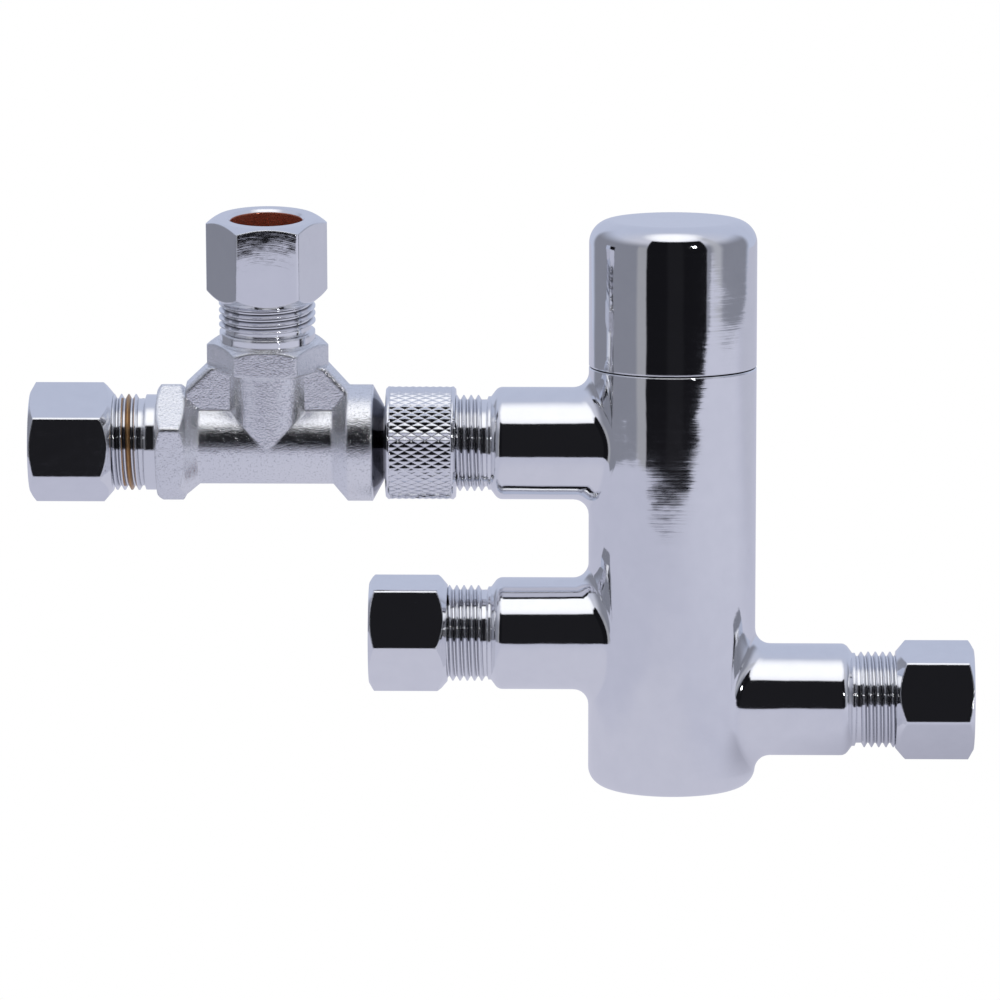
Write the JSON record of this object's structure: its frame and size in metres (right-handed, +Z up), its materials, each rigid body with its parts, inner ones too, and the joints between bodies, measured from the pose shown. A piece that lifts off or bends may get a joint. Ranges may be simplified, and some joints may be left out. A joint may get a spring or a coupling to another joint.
{
  "type": "thermostatic mixing valve",
  "caption": "Chromed inline valve that blends hot and cold water to a set temperature, with a swivel tee on its cold inlet and compression pipe ends.",
  "frame": {"origin": "middle of the body's flat base, on the body's axis", "axes": "+Z up the body, +X to the mixed outlet, -X to the two inlets and the tee, -Y to the front seen in the picture"},
  "size_m": [0.2061, 0.0364, 0.1268],
  "materials": {
    "chrome": "polished chrome on brass",
    "cast_chrome": "chrome over a sand-cast surface",
    "brass": "machined brass",
    "copper": "drawn copper",
    "steel": "stainless steel",
    "rubber": "moulded rubber",
    "fibre": "pressed fibre",
    "cartridge_plastic": "moulded glass-filled plastic",
    "valve_plastic": "moulded plastic"
  },
  "bodies": {
    "root": {"valve_body": "chrome", "cartridge_sleeve": "cartridge_plastic", "sleeve_oring_lower": "rubber", "sleeve_oring_middle": "rubber", "sleeve_oring_upper": "rubber", "hot_seat_tube": "brass", "return_spring": "steel", "cold_seat": "brass", "bonnet": "brass", "bonnet_oring": "rubber", "cap_oring": "rubber", "cold_check_housing": "valve_plastic", "cold_check_spring": "steel", "cold_strainer": "steel", "hot_check_housing": "valve_plastic", "hot_check_spring": "steel", "hot_strainer": "steel"},
    "cap": {"cover_cap": "chrome"},
    "spindle": {"adjusting_spindle": "brass", "spindle_oring": "rubber", "spindle_circlip": "steel"},
    "carrier": {"regulating_carrier": "brass", "plunger_retaining_ring": "brass", "overload_spring": "steel"},
    "plunger": {"overload_plunger": "brass", "element_push_rod": "steel"},
    "shuttle": {"shuttle_piston": "brass", "shuttle_oring": "rubber", "wax_element": "copper"},
    "cold_poppet": {"cold_check_poppet": "valve_plastic"},
    "hot_poppet": {"hot_check_poppet": "valve_plastic"},
    "hot_olive_ring": {"hot_olive": "copper"},
    "hot_pipe_nut": {"hot_nut": "chrome"},
    "outlet_olive_ring": {"outlet_olive": "copper"},
    "outlet_pipe_nut": {"outlet_nut": "chrome"},
    "union_ring": {"union_snap_ring": "steel"},
    "union_ring_nut": {"union_nut": "chrome"},
    "tee": {"tee_body": "cast_chrome", "union_washer": "fibre"},
    "tee_end_olive_ring": {"tee_end_olive": "copper"},
    "tee_end_pipe_nut": {"tee_end_nut": "chrome"},
    "tee_top_olive_ring": {"tee_top_olive": "copper"},
    "tee_top_pipe_nut": {"tee_top_nut": "chrome"}
  },
  "joints": [
    {"name": "cap_lift", "type": "slide", "parent": "root", "child": "cap", "axis": [0, 0, 1], "range_m": [0, 0.036]},
    {"name": "spindle_turn", "type": "hinge", "parent": "root", "child": "spindle", "pos_m": [0, 0, 0.1], "axis": [0, 0, 1], "range_deg": [-450, 450]},
    {"name": "carrier_travel", "type": "slide", "parent": "root", "child": "carrier", "axis": [0, 0, 1], "range_m": [-0.00187, 0.00187]},
    {"name": "plunger_travel", "type": "slide", "parent": "carrier", "child": "plunger", "axis": [0, 0, 1], "range_m": [0, 0.0025], "stiffness_N_per_m": 800, "springref_m": -0.0005, "deforming": ["overload_spring"]},
    {"name": "shuttle_travel", "type": "slide", "parent": "root", "child": "shuttle", "axis": [0, 0, 1], "range_m": [-0.0007, 0.0007], "stiffness_N_per_m": 600, "springref_m": 0.0005, "deforming": ["return_spring"]},
    {"name": "cold_check_lift", "type": "slide", "parent": "root", "child": "cold_poppet", "axis": [1, 0, 0], "range_m": [0, 0.003], "stiffness_N_per_m": 60, "springref_m": -0.002, "deforming": ["cold_check_spring"]},
    {"name": "hot_check_lift", "type": "slide", "parent": "root", "child": "hot_poppet", "axis": [1, 0, 0], "range_m": [0, 0.003], "stiffness_N_per_m": 60, "springref_m": -0.002, "deforming": ["hot_check_spring"]},
    {"name": "hot_nut_draw", "type": "slide", "parent": "root", "child": "hot_olive_ring", "axis": [-1, 0, 0], "range_m": [0, 0.00476]},
    {"name": "hot_nut_turn", "type": "hinge", "parent": "hot_olive_ring", "child": "hot_pipe_nut", "pos_m": [-0.05347, 0, 0.0335], "axis": [-1, 0, 0], "range_deg": [0, 1080]},
    {"name": "outlet_nut_draw", "type": "slide", "parent": "root", "child": "outlet_olive_ring", "axis": [1, 0, 0], "range_m": [0, 0.00476]},
    {"name": "outlet_nut_turn", "type": "hinge", "parent": "outlet_olive_ring", "child": "outlet_pipe_nut", "pos_m": [0.05337, 0, 0.019], "axis": [1, 0, 0], "range_deg": [0, 1080]},
    {"name": "union_nut_draw", "type": "slide", "parent": "root", "child": "union_ring", "axis": [-1, 0, 0], "range_m": [0, 0.00634]},
    {"name": "union_nut_turn", "type": "hinge", "parent": "union_ring", "child": "union_ring_nut", "pos_m": [-0.0535, 0, 0.0756], "axis": [-1, 0, 0], "range_deg": [0, 1440]},
    {"name": "tee_swivel", "type": "hinge", "parent": "union_ring", "child": "tee", "pos_m": [-0.06, 0, 0.0756], "axis": [1, 0, 0], "continuous": true},
    {"name": "tee_end_nut_draw", "type": "slide", "parent": "tee", "child": "tee_end_olive_ring", "axis": [-1, 0, 0], "range_m": [0, 0.00476]},
    {"name": "tee_end_nut_turn", "type": "hinge", "parent": "tee_end_olive_ring", "child": "tee_end_pipe_nut", "pos_m": [-0.12627, 0, 0.0756], "axis": [-1, 0, 0], "range_deg": [0, 1080]},
    {"name": "tee_top_nut_draw", "type": "slide", "parent": "tee", "child": "tee_top_olive_ring", "axis": [0, -0.1045, 0.9945], "range_m": [0, 0.00476]},
    {"name": "tee_top_nut_turn", "type": "hinge", "parent": "tee_top_olive_ring", "child": "tee_top_pipe_nut", "pos_m": [-0.0881, -0.00382, 0.11196], "axis": [0, -0.1045, 0.9945], "range_deg": [0, 1080]}
  ],
  "couplings": [
    {"joint": "spindle_turn", "follows": "carrier_travel", "rad_per_m": -4188.8},
    {"joint": "hot_nut_turn", "follows": "hot_nut_draw", "rad_per_m": 3957.9},
    {"joint": "outlet_nut_turn", "follows": "outlet_nut_draw", "rad_per_m": 3957.9},
    {"joint": "union_nut_turn", "follows": "union_nut_draw", "rad_per_m": 3957.9},
    {"joint": "tee_end_nut_turn", "follows": "tee_end_nut_draw", "rad_per_m": 3957.9},
    {"joint": "tee_top_nut_turn", "follows": "tee_top_nut_draw", "rad_per_m": 3957.9}
  ]
}
